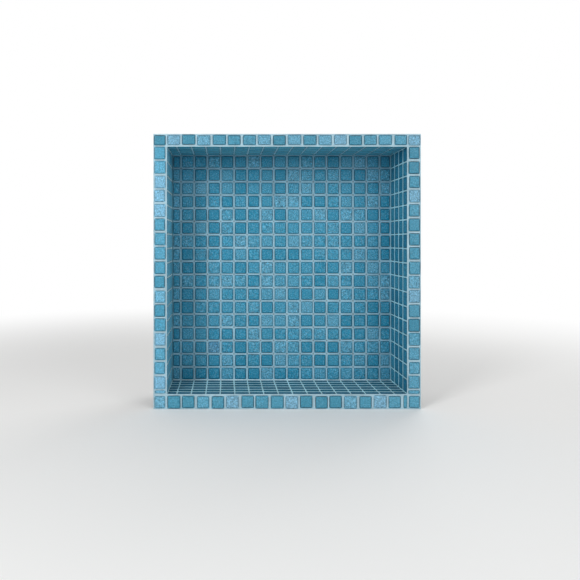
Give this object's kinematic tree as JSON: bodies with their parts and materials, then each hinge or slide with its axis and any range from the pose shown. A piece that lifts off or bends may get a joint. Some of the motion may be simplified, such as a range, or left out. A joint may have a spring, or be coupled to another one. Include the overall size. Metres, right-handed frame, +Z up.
{
  "type": "shower niche insert",
  "caption": "Square recessed shower shelf: a moulded pan lined with blue mosaic tiles in pale grout, with one row of the same tiles framing its opening.",
  "frame": {"origin": "middle of the opening, in the plane of the wall's face, where the back of the flange lies", "axes": "+Z up, +Y into the wall, the opening faces -Y, +X to the right of someone facing it"},
  "size_m": [0.4422, 0.1053, 0.4552],
  "materials": {
    "pan": "moulded, fine grain",
    "grout": "cement grout, sanded",
    "niche_tile": "glossy, mottled blue",
    "border_tile": "glossy, mottled light blue"
  },
  "bodies": {
    "root": {"niche_pan": "pan", "back_wall_grout": "grout", "sill_grout": "grout", "ceiling_grout": "grout", "left_wall_grout": "grout", "right_wall_grout": "grout", "border_grout": "grout", "back_wall_tiles": "niche_tile", "sill_tiles": "niche_tile", "ceiling_tiles": "niche_tile", "left_wall_tiles": "niche_tile", "right_wall_tiles": "niche_tile", "border_top_tiles": "border_tile", "border_bottom_tiles": "border_tile", "border_left_tiles": "border_tile", "border_right_tiles": "border_tile"}
  },
  "joints": []
}
